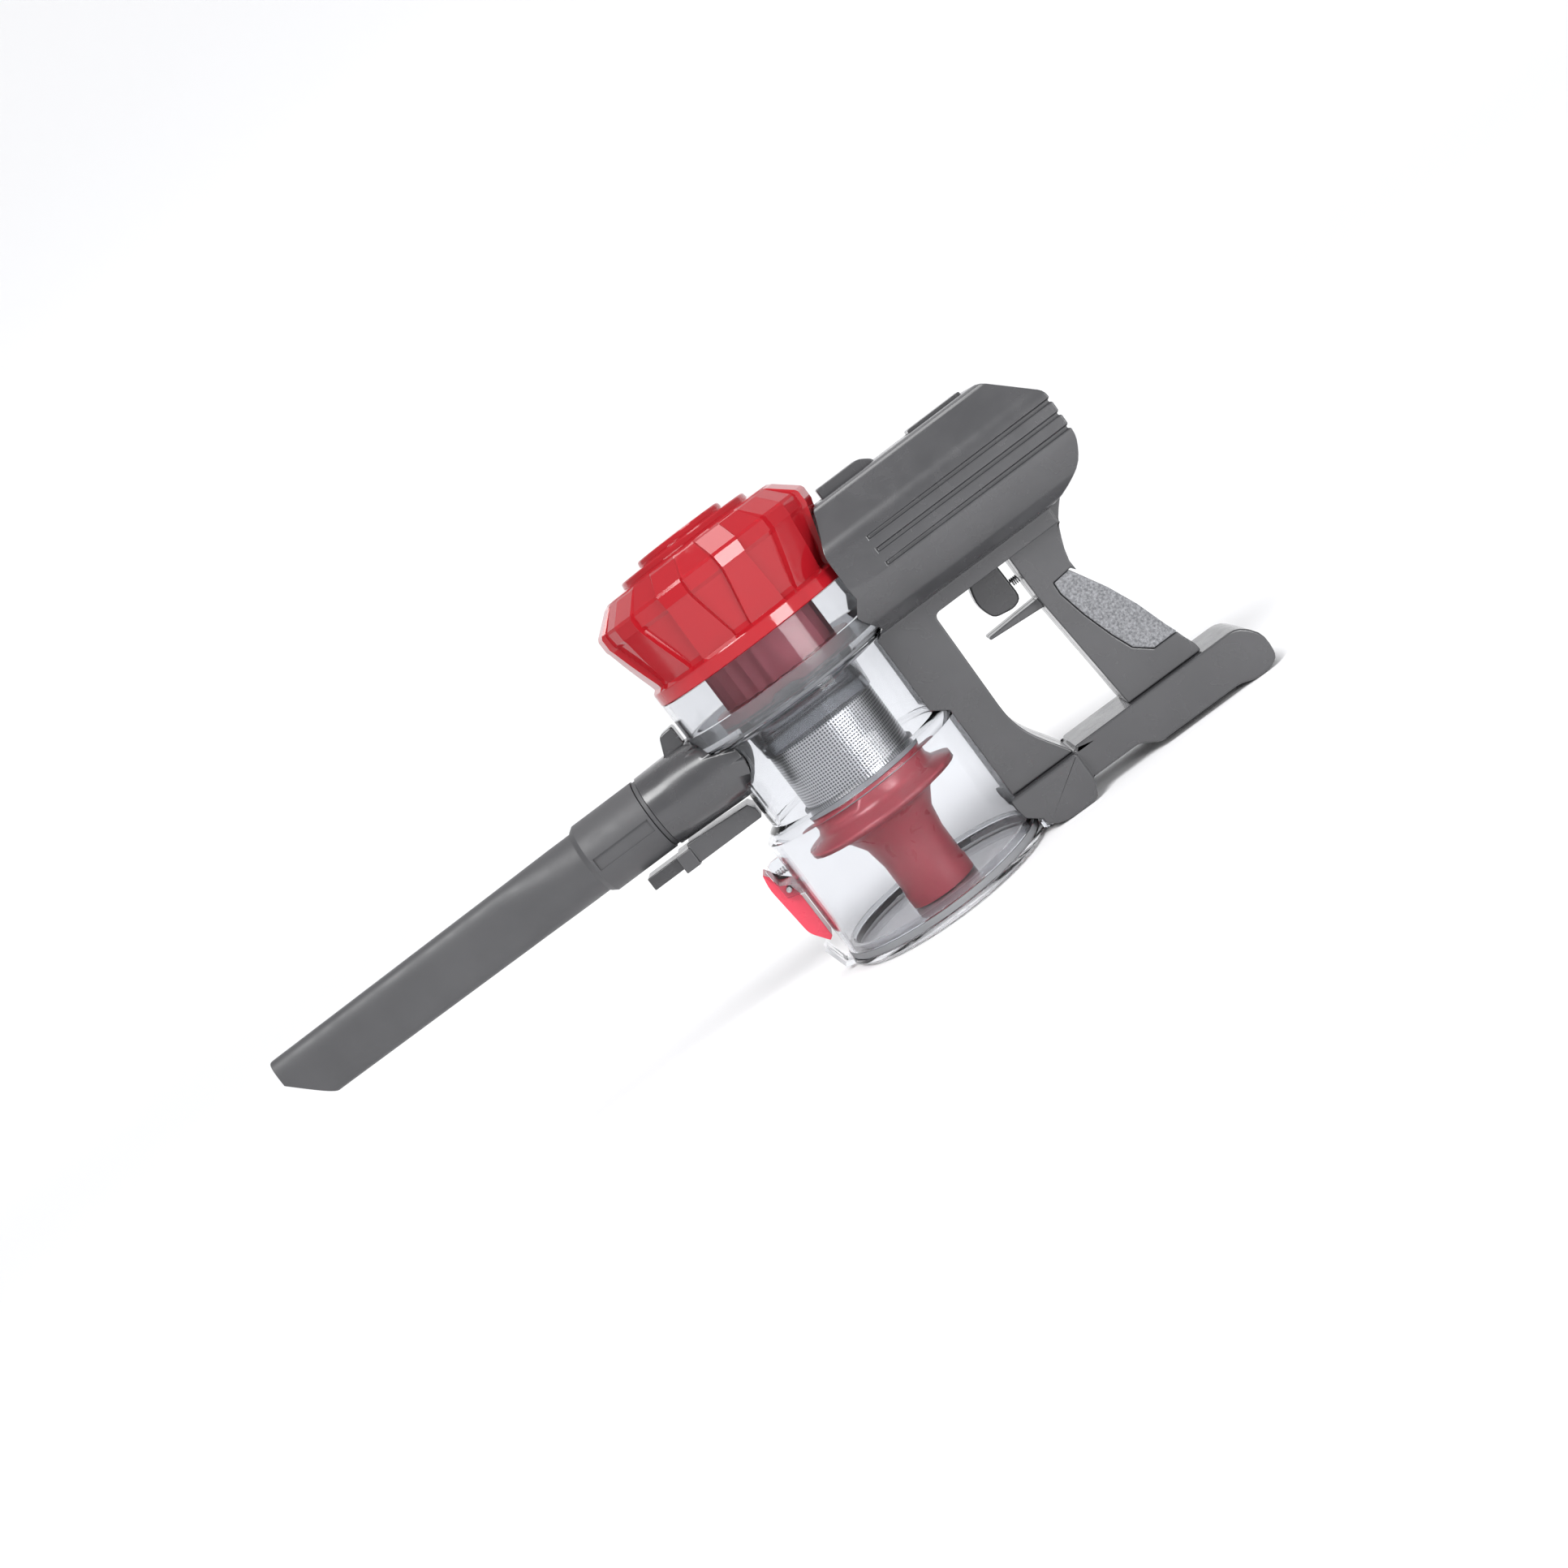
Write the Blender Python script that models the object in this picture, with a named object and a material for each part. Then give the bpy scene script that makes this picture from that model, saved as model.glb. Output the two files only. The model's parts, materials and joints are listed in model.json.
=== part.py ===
"""Handheld vacuum: a cyclone cup hung in front of a motor housing with a D-handle and a battery foot.

All sizes are in millimetres. Z is up, the nozzle points along -X, and the cup's axis is x = 0, y = 0.
"""

import bmesh
import bpy
from math import cos, pi, radians, sin, sqrt, tau

for old in list(bpy.data.objects):
    bpy.data.objects.remove(old, do_unlink=True)

MM = 0.001
GAP = 0.3  # between pieces that touch
SLIDE = 0.5  # between pieces that move past each other
ROUND = 48  # sides of a large turned piece
MIDDLE = 32  # sides of a turned piece inside the cup or the housing
SMALL = 16  # sides of a small turned piece

# Dust cup
CUP_R = 57.5
CUP_NECK_R = 50.0
CUP_WALL = 2.2
CUP_STEP_Z = (75.0, 81.5)
CUP_BOTTOM_Z = 8.0
CUP_TOP_Z = 129.0
LID_R = CUP_R + 1.0
LID_BASE = 4.0
LID_HINGE_X = CUP_R + 3.0
LID_HINGE_Z = 2.6
HINGE_R = 2.4
LATCH_W = 18.0

# Cyclone and filter
SKIRT_R = 43.0
SKIRT_TUBE_R = 18.0
MESH_R = 31.0
MESH_Z = (77.0, 110.0)
RIM_Z = (131.0, 142.0)
BAND_TOP_Z = 162.0
CAP_R = CUP_R + 5.8
CAP_TOP_Z = 226.5
CAP_PANELS = 12
CAP_WALL = 2.0

# Inlet and crevice tool
PIPE_Z = 121.5
INLET_FRONT_X = -91.0
INLET_R = 20.0
INLET_SADDLE = (38.0, 21.0)
BORE_R = 17.5
TOOL_COLLAR_R = 19.8
TOOL_COLLAR_X = (-133.0, -94.0)
TOOL_TIP_X = -326.0
TOOL_H = 17.25
TOOL_W = 7.5
TOOL_WALL = 2.0
SPIGOT_LEN = 22.0

# Motor housing and handle
HOUSE_W = 40.0
HOUSE_Z = (127.0, 195.5)
HOUSE_REAR_X = 178.0
HOUSE_WALL = 2.6
COLUMN_W = 20.0
COLUMN_X = CUP_R + 17.5
HANDLE_W = 16.0
PAD_DEPTH = 1.6
MOTOR_Z = 161.0
MOTOR_R = 25.0

# Battery foot
BLOCK_W = 27.0
BAR_END_X = 198.0
CELL_R = 9.1
CELL_LEN = 50.0
CASE_WALL = 1.6
CELL_FLOOR_Z = 4.6
BAR_W = 2 * CELL_R + GAP + CASE_WALL + 0.9
DOCK_Z = CELL_FLOOR_Z + 2 * CELL_R + CASE_WALL + 2.1

COLOURS = {
    "dark_plastic": ((0.10, 0.10, 0.105), 0.32, 0.0),
    "matte_plastic": ((0.085, 0.085, 0.09), 0.6, 0.0),
    "clear_plastic": ((0.80, 0.81, 0.82), 0.08, 0.0),
    "smoky_plastic": ((0.45, 0.46, 0.47), 0.15, 0.0),
    "grey_plastic": ((0.50, 0.51, 0.52), 0.4, 0.0),
    "red_plastic": ((0.55, 0.03, 0.045), 0.15, 0.0),
    "latch_plastic": ((0.70, 0.05, 0.10), 0.3, 0.0),
    "grip_rubber": ((0.35, 0.35, 0.36), 0.8, 0.0),
    "seal_rubber": ((0.30, 0.31, 0.32), 0.7, 0.0),
    "steel": ((0.60, 0.60, 0.60), 0.3, 1.0),
    "filter_media": ((0.80, 0.80, 0.78), 0.9, 0.0),
    "board": ((0.03, 0.20, 0.08), 0.5, 0.0),
}


def material(name):
    """The shared Principled material of this name."""
    if name in bpy.data.materials:
        return bpy.data.materials[name]
    colour, roughness, metallic = COLOURS[name]
    made = bpy.data.materials.new(name)
    made.use_nodes = True
    shader = made.node_tree.nodes["Principled BSDF"]
    shader.inputs["Base Color"].default_value = (*colour, 1)
    shader.inputs["Roughness"].default_value = roughness
    shader.inputs["Metallic"].default_value = metallic
    return made


def solid(name, points, faces, look):
    """A closed object from points in millimetres, with its faces pointing out."""
    mesh = bpy.data.meshes.new(name)
    mesh.from_pydata([[c * MM for c in point] for point in points], [], faces)
    work = bmesh.new()
    work.from_mesh(mesh)
    bmesh.ops.recalc_face_normals(work, faces=work.faces)
    work.to_mesh(mesh)
    work.free()
    made = bpy.data.objects.new(name, mesh)
    bpy.context.scene.collection.objects.link(made)
    mesh.materials.append(material(look))
    return made


def smooth(piece, angle=35):
    piece.data.shade_smooth()
    piece.data.set_sharp_from_angle(angle=radians(angle))
    return piece


def boolean(piece, other, operation):
    """Cuts, joins or keeps what is common, and uses the other piece up."""
    change = piece.modifiers.new(operation, "BOOLEAN")
    change.operation = operation
    change.object = other
    graph = bpy.context.evaluated_depsgraph_get()
    result = bpy.data.meshes.new_from_object(piece.evaluated_get(graph))
    piece.modifiers.clear()
    result.name = piece.data.name
    look = piece.data.materials[0]
    piece.data = result
    result.materials.clear()
    result.materials.append(look)
    bpy.data.objects.remove(other, do_unlink=True)
    return piece


def cut(piece, other):
    return boolean(piece, other, "DIFFERENCE")


def join(piece, other):
    return boolean(piece, other, "UNION")


def keep(piece, other):
    return boolean(piece, other, "INTERSECT")


def on_axis(axis, u, v, along):
    """(u, v) across and along a direction: X takes (y, z), Y takes (x, z), Z takes (x, y)."""
    return {"X": (along, u, v), "Y": (u, along, v), "Z": (u, v, along)}[axis]


def prism(name, outline, low, high, axis, look="dark_plastic"):
    """An outline run along an axis."""
    count = len(outline)
    points = [on_axis(axis, u, v, end) for end in (low, high) for u, v in outline]
    sides = [(i, (i + 1) % count, count + (i + 1) % count, count + i) for i in range(count)]
    return solid(name, points, [range(count), range(count, 2 * count), *sides], look)


def box(name, low, high, look="dark_plastic"):
    x, y, z = zip(low, high)
    return prism(name, [(x[0], y[0]), (x[1], y[0]), (x[1], y[1]), (x[0], y[1])], *z, "Z", look)


def turned(name, profile, look, axis="Z", at=(0, 0), sides=ROUND):
    """A closed profile of (radius, along) points turned about an axis through `at`."""
    points, rings = [], []
    for radius, along in profile:
        count = sides if radius > 0 else 1
        rings.append([len(points) + i for i in range(count)])
        for i in range(count):
            a = tau * (i + 0.5) / sides
            points.append(on_axis(axis, at[0] + radius * cos(a), at[1] + radius * sin(a), along))
    faces = []
    for k, ring in enumerate(rings):
        after = rings[(k + 1) % len(rings)]
        if len(ring) == len(after) == 1:
            continue
        for i in range(sides):
            j = (i + 1) % sides
            corners = [
                ring[i % len(ring)], ring[j % len(ring)], after[j % len(after)], after[i % len(after)]
            ]
            faces.append(list(dict.fromkeys(corners)))
    return smooth(solid(name, points, faces, look))


def rod(name, radius, low, high, axis, at, look="steel", sides=SMALL):
    return turned(name, [(0, low), (radius, low), (radius, high), (0, high)], look, axis, at, sides)


def ring(name, inner, outer, low, high, look, axis="Z", at=(0, 0), sides=ROUND):
    return turned(name, [(inner, low), (outer, low), (outer, high), (inner, high)], look, axis, at, sides)


def rounded(corners, steps=3):
    """An outline with its corners rounded: each corner is (u, v, radius)."""
    outline = []
    for k, (u, v, radius) in enumerate(corners):
        if not radius:
            outline.append((u, v))
            continue
        before, after = corners[k - 1], corners[(k + 1) % len(corners)]
        ends = []
        for other in (before, after):
            away = (other[0] - u, other[1] - v)
            reach = min(radius, 0.45 * sqrt(away[0] ** 2 + away[1] ** 2)) / sqrt(
                away[0] ** 2 + away[1] ** 2
            )
            ends.append((u + away[0] * reach, v + away[1] * reach))
        for i in range(steps + 1):
            t = i / steps
            weights = (1 - t) ** 2, 2 * t * (1 - t), t**2
            trio = (ends[0], (u, v), ends[1])
            outline.append(tuple(sum(w * p[c] for w, p in zip(weights, trio)) for c in (0, 1)))
    return outline


def oval(x, half_y, half_z, z, sides, square=2.0):
    """A section across X: an ellipse, or a squarer oval as `square` grows."""
    points = []
    for i in range(sides):
        a = tau * i / sides
        c, s = cos(a), sin(a)
        reach = (abs(c) ** square + abs(s) ** square) ** (-1 / square)
        points.append((x, half_y * c * reach, z + half_z * s * reach))
    return points


def loft(name, sections, look, closed_ring=False):
    """A skin of triangles over sections of equal count. A closed ring joins the last to the first."""
    count = len(sections[0])
    points = [point for section in sections for point in section]
    faces = []
    spans = len(sections) if closed_ring else len(sections) - 1
    for k in range(spans):
        low, high = k * count, (k + 1) % len(sections) * count
        for i in range(count):
            j = (i + 1) % count
            faces += [(low + i, low + j, high + j), (low + i, high + j, high + i)]
    if not closed_ring:
        faces += [range(count), range(len(points) - count, len(points))]
    return smooth(solid(name, points, faces, look))


def about(piece, x, y, z):
    """Puts the object's origin on its joint's axis, in place."""
    for vertex in piece.data.vertices:
        vertex.co -= type(vertex.co)((x * MM, y * MM, z * MM))
    piece.location = (x * MM, y * MM, z * MM)
    return piece


def cup_clearance():
    """The space that the cup, its rim and its cap need in the parts behind them."""
    low, high = CUP_STEP_Z
    flare = LID_HINGE_X + HINGE_R + 2 * SLIDE + 1
    profile = [
        (0, -5),
        (flare + 1, -5),
        (flare, 8),
        (LID_R + SLIDE, 13),
        (CUP_R + SLIDE, 20),
        (CUP_R + SLIDE, low + 2),
        (CUP_R - 2.2, low + 4),
        (CUP_NECK_R + SLIDE, high + 1),
        (CUP_NECK_R + SLIDE, CUP_TOP_Z - 3),
        (CUP_R + SLIDE, CUP_TOP_Z),
        (CUP_R + SLIDE, RIM_Z[1] - 1),
        (CAP_R + SLIDE, RIM_Z[1] + 7),
        (CAP_R + SLIDE, 260),
        (0, 260),
    ]
    return turned("clearance", profile, "steel", sides=72)


# ---- dust cup ----


def inlet_passage(grow=0.0):
    """The air path from the inlet's mouth into the cup."""
    sections = []
    for x, half_y, half_z, z in (
        (INLET_FRONT_X - 5, BORE_R, BORE_R, PIPE_Z),
        (INLET_FRONT_X + SPIGOT_LEN, BORE_R, BORE_R, PIPE_Z),
        (-60, BORE_R + 2, 14, PIPE_Z - 4.5),
        (-CUP_NECK_R - 2, BORE_R + 4, 11.5, PIPE_Z - 6),
        (-CUP_NECK_R + 8, BORE_R + 4, 11.5, PIPE_Z - 6),
    ):
        sections.append(oval(x, half_y + grow, half_z + grow, z, 32))
    return loft("passage", sections, "steel")


def latch_ears():
    """Two clear ears that hold the latch's pin, on the front of the cup."""
    outline = [
        (-CUP_R + 1, 46), (-CUP_R - 7.5, 49), (-CUP_R - 8.5, 66), (-CUP_R - 3.5, 68.5), (-CUP_R + 1, 68.5)
    ]
    for side in (-1, 1):
        ends = sorted((side * (LATCH_W / 2 + SLIDE), side * (LATCH_W / 2 + SLIDE + 2.5)))
        yield prism("ear", outline, *ends, "Y")


def dust_cup():
    low, high = CUP_STEP_Z
    inner, neck = CUP_R - CUP_WALL, CUP_NECK_R - CUP_WALL
    profile = [
        (inner, CUP_BOTTOM_Z),
        (CUP_R, CUP_BOTTOM_Z),
        (CUP_R, low),
        (CUP_R - 3, low + 3.5),
        (CUP_NECK_R, high),
        (CUP_NECK_R, CUP_TOP_Z - 3),
        (CUP_NECK_R + 3, CUP_TOP_Z),
        (neck, CUP_TOP_Z),
        (neck, high - 1),
        (inner - 3, low + 2),
        (inner, low - 1),
    ]
    cup = turned("dust_cup", profile, "clear_plastic", sides=ROUND)
    for ear in latch_ears():
        join(cup, ear)
    cut(cup, rod("hole", 1.5 + 0.05, -20, 20, "Y", LATCH_PIN))
    return smooth(cut(cup, inlet_passage(GAP)))


LATCH_PIN = (-CUP_R - 4.5, 52.0)


def lid():
    """The bottom lid: a base, a ridge inside the cup, a front tab for the latch and a rear knuckle."""
    ridge = CUP_R - CUP_WALL - SLIDE
    profile = [
        (0, 0),
        (LID_R - 3, 0),
        (LID_R - 1, 0.6),
        (LID_R, 2),
        (LID_R, LID_BASE),
        (ridge, LID_BASE),
        (ridge, CUP_BOTTOM_Z + 3),
        (ridge - 2.2, CUP_BOTTOM_Z + 3),
        (ridge - 2.2, LID_BASE + 1),
        (0, LID_BASE + 1),
    ]
    made = turned("lid", profile, "clear_plastic")
    tab = [
        (-LID_R + 2, 0.8),
        (-LID_R - 4.5, 2),
        (-LID_R - 8.5, 16),
        (-LID_R - 6, 17),
        (-LID_R - 2.5, 5),
        (-LID_R + 2, 3.9),
    ]
    join(made, prism("tab", tab, -7, 7, "Y"))
    arm = [(LID_R - 4, 0.3), (LID_HINGE_X, 0.3), (LID_HINGE_X, 3.8), (LID_R - 4, 3.8)]
    join(made, prism("arm", arm, -9, 9, "Y"))
    join(made, rod("knuckle", HINGE_R, -9, 9, "Y", (LID_HINGE_X, LID_HINGE_Z)))
    cut(made, rod("hole", 1.2 + 0.05, -12, 12, "Y", (LID_HINGE_X, LID_HINGE_Z)))
    return about(smooth(made), LID_HINGE_X, 0, LID_HINGE_Z)


def lid_seal():
    inner = CUP_R - CUP_WALL - SLIDE + GAP
    made = ring("lid_seal", inner, CUP_R + 0.3, LID_BASE + GAP, CUP_BOTTOM_Z - GAP, "seal_rubber")
    return about(made, LID_HINGE_X, 0, LID_HINGE_Z)


def lid_hinge():
    """The fixed half of the hinge: two ears that hang from the cup's rear, and the pin through them."""
    outer = LID_HINGE_X + HINGE_R
    outline = [
        (CUP_R + GAP, 12.5),
        (CUP_R + GAP, 5.2),
        (LID_HINGE_X - 2, 0.4),
        (outer, 0.4),
        (outer, 8),
        (CUP_R + 2, 12.5),
    ]
    bracket = prism("hinge_bracket", outline, -14, -9.4, "Y", "clear_plastic")
    join(bracket, prism("ear", outline, 9.4, 14, "Y"))
    bridge = [
        (CUP_R + GAP, 12.5), (CUP_R + GAP, 8.5), (CUP_R + 2.9, 8.5), (CUP_R + 2.9, 10.5), (CUP_R + 2, 12.5)
    ]
    join(bracket, prism("bridge", bridge, -10, 10, "Y"))
    cut(bracket, rod("hole", 1.2 + 0.05, -20, 20, "Y", (LID_HINGE_X, LID_HINGE_Z)))
    rod("hinge_pin", 1.2, -13.6, 13.6, "Y", (LID_HINGE_X, LID_HINGE_Z), sides=SMALL)


def latch():
    x = LATCH_PIN[0]
    outline = rounded(
        [
            (x - 6.5, 65.5, 1),
            (x - 4, 62, 0),
            (x - 3, 56, 0),
            (x + 1.5, 53.5, 1),
            (x + 3.1, 47, 1),
            (x + 3.1, 20, 0),
            (x + 1, 18.6, 0.5),
            (x - 5.6, 27.7, 3),
            (x - 8, 57.7, 4),
        ]
    )
    width = LATCH_W / 2
    made = prism("latch", outline, -width, width, "Y", "latch_plastic")
    cut(made, rod("hole", 1.5 + 0.05, -20, 20, "Y", LATCH_PIN))
    about(smooth(made), LATCH_PIN[0], 0, LATCH_PIN[1])
    rod("latch_pin", 1.5, -width - 2.8, width + 2.8, "Y", LATCH_PIN)
    ring("latch_spring", 1.2, 1.9, x - 1.6, x + 3.8, "steel", "X", (0, 60), 12)


# ---- cyclone, filter and cap ----


def skirt():
    """The red skirt: a flange over a narrowing throat and a tube that stands on the lid."""
    tube, bottom = SKIRT_TUBE_R, LID_BASE + 1 + GAP
    profile = [
        (tube - 1.8, bottom),
        (tube + 0.5, bottom),
        (tube + 0.5, 13),
        (tube, 14),
        (tube, 31),
        (20, 43),
        (25, 51),
        (31, 55),
        (SKIRT_R, 56.5),
        (SKIRT_R, 60),
        (35, 62.5),
        (33, 66),
        (33, 71),
        (29, 71),
        (29, 64),
        (22, 53),
        (17.6, 43),
        (tube - 1.8, 31),
    ]
    return turned("skirt", profile, "red_plastic", sides=MIDDLE)


def cyclone():
    """Base ring, mesh cylinder and filter housing, one on the other."""
    ring("screen_base", 27, 33, 71 + GAP, MESH_Z[0] - GAP, "grey_plastic", sides=MIDDLE)
    ring("mesh_screen", MESH_R - 1, MESH_R, *MESH_Z, "steel", sides=MIDDLE)
    low = MESH_Z[1] + GAP
    profile = [
        (MESH_R - 3, low),
        (MESH_R + 1, low),
        (MESH_R + 2, CUP_TOP_Z - 4),
        (CUP_NECK_R - CUP_WALL - 1, CUP_TOP_Z - 1),
        (CUP_NECK_R - CUP_WALL - 1, RIM_Z[0] - GAP),
        (MESH_R - 3, RIM_Z[0] - GAP),
    ]
    turned("filter_housing", profile, "smoky_plastic", sides=MIDDLE)


def rim():
    ring(
        "rim_seal",
        CUP_NECK_R - CUP_WALL,
        CUP_NECK_R + 2.5,
        CUP_TOP_Z + GAP,
        RIM_Z[0] - GAP,
        "seal_rubber",
        sides=MIDDLE,
    )
    low, high = RIM_Z
    lip = CUP_R - 6
    profile = [
        (MESH_R - 3, low),
        (CUP_R - 0.8, low),
        (CUP_R, low + 1),
        (CUP_R, high - GAP),
        (lip, high - GAP),
        (lip, low + 3),
        (MESH_R - 3, low + 3),
    ]
    turned("rim_ring", profile, "smoky_plastic")


def band():
    made = ring("clear_band", CUP_R - 2.5, CUP_R, RIM_Z[1], BAND_TOP_Z - GAP, "clear_plastic")
    return made


CAP_PROFILE = (
    # radius, height above the cap's lower edge, depth of the recess between panels
    (CUP_R, 0.0, 0.0),
    (CUP_R, 6.6, 0.0),
    (CUP_R - 2.8, 8.0, 0.6),
    (CUP_R - 1.5, 12.5, 1.6),
    (CAP_R - 3.6, 23.0, 2.2),
    (CAP_R, 36.6, 2.2),
    (CAP_R, 44.4, 1.6),
    (CAP_R - 5.8, 50.0, 1.0),
    (CAP_R - 13.8, 55.2, 0.0),
    (37.5, 57.0, 0.0),
    (36.5, 59.6, 0.0),
    (25.0, 60.6, 0.0),
    (24.0, 62.8, 0.0),
    (12.0, 64.2, 0.0),
)


def cap_recess(angle):
    """0 on a raised panel, 1 in the recess between two, with sloped sides."""
    across = (angle * CAP_PANELS / tau) % 1.0
    return min(1.0, max(0.0, (abs(across - 0.5) - 0.22) / 0.06))


def cap():
    """The faceted cap, a shell open at its lower edge."""
    sides = CAP_PANELS * 4
    points, faces = [], []
    for shrink in (0.0, CAP_WALL):
        for radius, height, depth in CAP_PROFILE:
            for i in range(sides):
                angle = tau * (i + 0.5) / sides
                r = radius - shrink - depth * cap_recess(angle)
                z = BAND_TOP_Z + min(height, CAP_TOP_Z - BAND_TOP_Z - shrink)
                z -= shrink if height > 50 else 0
                points.append((r * cos(angle), r * sin(angle), z))
    rows = len(CAP_PROFILE)
    for k in range(2 * rows - 1):
        if k == rows - 1:
            continue
        for i in range(sides):
            j = (i + 1) % sides
            faces.append((k * sides + i, k * sides + j, (k + 1) * sides + j, (k + 1) * sides + i))
    faces += [range((rows - 1) * sides, rows * sides), range((2 * rows - 1) * sides, 2 * rows * sides)]
    for i in range(sides):
        j = (i + 1) % sides
        faces.append((i, j, rows * sides + j, rows * sides + i))
    return smooth(solid("filter_cap", points, faces, "red_plastic"), 12)


def filters():
    """The pleated filter on its core, under the cap."""
    low = RIM_Z[0] + 3 + GAP
    ring("filter_base", 10, 40, low, low + 6, "red_plastic", sides=MIDDLE)
    pleats, points = 24, []
    for i in range(2 * pleats):
        angle = tau * i / (2 * pleats)
        radius = 33 if i % 2 else 27
        points.append((radius * cos(angle), radius * sin(angle)))
    made = prism("pleated_filter", points, low + 6 + GAP, 205, "Z", "filter_media")
    cut(made, rod("hole", 16 + GAP, low, 210, "Z", (0, 0)))
    ring("filter_core", 13, 16, low + 6 + GAP, 208, "red_plastic", sides=SMALL)


# ---- inlet ----


def inlet_duct():
    """Round at its mouth and widening to a saddle on the cup."""
    sections = []
    length = -22 - INLET_FRONT_X
    for k in range(9):
        t = k / 8
        half_y = INLET_R + (INLET_SADDLE[0] - INLET_R) * t**1.25
        half_z = INLET_R + (INLET_SADDLE[1] - INLET_R) * t
        sections.append(
            oval(INLET_FRONT_X + length * t, half_y, half_z, PIPE_Z, 40, 2.0 + 0.5 * sin(pi * t))
        )
    duct = loft("inlet_duct", sections, "dark_plastic")
    cut(duct, inlet_passage())
    body = [
        (0, 60),
        (CUP_NECK_R + GAP, 60),
        (CUP_NECK_R + GAP, CUP_TOP_Z - 3),
        (CUP_NECK_R + 3 + GAP, CUP_TOP_Z),
    ]
    body += [(CUP_R + GAP, CUP_TOP_Z + 1), (CUP_R + GAP, 200), (0, 200)]
    cut(duct, turned("wall", body, "steel", sides=72))
    low, high = BUTTON_X
    cut(duct, box("slot", (low - SLIDE, -7 - SLIDE, PIPE_Z + 9), (high + SLIDE, 7 + SLIDE, 160)))
    return smooth(duct)


BUTTON_X = (-71.5, -59.5)
BUTTON_FOOT_Z = PIPE_Z + BORE_R + 0.5


def inlet_button():
    """The tab that frees the tool, its spring, and the stub below it that catches the tool."""
    low, high = BUTTON_X
    outline = rounded(
        [
            (low, BUTTON_FOOT_Z, 0),
            (low, 142, 0),
            (low + 4, 151.2, 2),
            (high, 151.8, 1.5),
            (high, BUTTON_FOOT_Z, 0),
        ],
    )
    made = prism("inlet_button", outline, -7, 7, "Y")
    return smooth(made)


def inlet_parts():
    """The flap and its pin, the contact box below, its plug, and the ring round the mouth."""
    outline = rounded(
        [(-9, 129.4, 1), (9, 129.4, 1), (11, 118, 3), (9, 107.5, 6), (-9, 107.5, 6), (-11, 118, 3)]
    )
    flap = prism("inlet_flap", outline, FLAP_X - 0.7, FLAP_X + 0.7, "X", "seal_rubber")
    about(flap, FLAP_X, 0, 129)
    box_top = PIPE_Z - INLET_R - GAP
    outline = [(-89, 89.3), (-50.6, 89.3), (-50.6, 95), (-53, 98.5), (-89, box_top - 0.6)]
    box_piece = prism("contact_box", outline, -11, 11, "Y")
    cut(
        box_piece,
        loft(
            "duct",
            [oval(x, INLET_R + 25 + GAP, INLET_R + 1 + GAP, PIPE_Z, 40) for x in (-95, -20)],
            "steel",
        ),
    )
    join(box_piece, box("flange", (-97, -13, 88.8), (-88.5, 13, 98.6)))
    smooth(box_piece)
    box("contact_plug", (-115.5, -8, 91), (-97 - GAP, 8, 98), "matte_plastic")
    ring(
        "neck_seal",
        BORE_R + 0.4,
        INLET_R - 1,
        TOOL_COLLAR_X[1] + GAP,
        INLET_FRONT_X - GAP,
        "grey_plastic",
        "X",
        (0, PIPE_Z),
        MIDDLE,
    )


FLAP_X = -64.0


def crevice_tool():
    """A round collar that blends into a flat nozzle with a slanted mouth, and a spigot behind it."""
    front, back = TOOL_COLLAR_X
    tip_h = TOOL_H - 1.3
    rows = [
        (back + SPIGOT_LEN, BORE_R - SLIDE, BORE_R - SLIDE, 2.0),
        (back, BORE_R - SLIDE, BORE_R - SLIDE, 2.0),
        (back, TOOL_COLLAR_R, TOOL_COLLAR_R, 2.0),
        (front + 2.5, TOOL_COLLAR_R, TOOL_COLLAR_R, 2.0),
        (front, TOOL_H + 1, TOOL_H + 1, 2.0),
        (front - 1, TOOL_H, TOOL_H, 2.0),
        (front - 15, 15.5, TOOL_H, 2.1),
        (front - 32, 11.5, TOOL_H - 0.2, 2.5),
        (front - 50, 9.5, TOOL_H - 0.4, 3.2),
        (TOOL_TIP_X, TOOL_W, tip_h, 3.6),
    ]
    sides = 40
    outer = [oval(x, y, z, PIPE_Z, sides, square) for x, y, z, square in rows]
    inner_rows = [rows[0], rows[5], *rows[6:]]
    inner = [oval(x, y - TOOL_WALL, z - TOOL_WALL, PIPE_Z, sides, square) for x, y, z, square in inner_rows]
    tool = loft("crevice_tool", outer + inner[::-1], "matte_plastic", closed_ring=True)
    top, low = PIPE_Z + tip_h, PIPE_Z - tip_h
    mouth = [(TOOL_TIP_X - 9, top - 4.3), (TOOL_TIP_X + 19, low), (TOOL_TIP_X + 22, low - 5)]
    cut(tool, prism("slant", [*mouth, (TOOL_TIP_X - 9, low - 5)], -30, 30, "Y"))
    cut(
        tool,
        box(
            "relief",
            (front + 4, -TOOL_COLLAR_R - 5, PIPE_Z - 5),
            (back - 1.5, -TOOL_COLLAR_R + 1.2, PIPE_Z + 2),
        ),
    )
    return smooth(tool)


# ---- motor housing, column and handle ----

HOUSE_SIDE = (
    (40, HOUSE_Z[0], 0),
    (HOUSE_REAR_X - 22, HOUSE_Z[0], 8),
    (HOUSE_REAR_X - 6, HOUSE_Z[0] + 9, 6),
    (HOUSE_REAR_X, 148, 4),
    (HOUSE_REAR_X, 174, 3),
    (HOUSE_REAR_X - 21, HOUSE_Z[1], 4),
    (40, HOUSE_Z[1], 0),
)


def house_section(inset=0.0):
    """The housing's section across X: eight sides, with rounded corners."""
    wide, low, high = HOUSE_W - inset, HOUSE_Z[0] + inset, HOUSE_Z[1] - inset
    half = [(24, low, 4), (wide - 4, 138, 6), (wide, 150, 5), (wide, 175, 5), (24, high, 4)]
    return rounded(half + [(-y, z, r) for y, z, r in reversed(half)])


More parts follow.
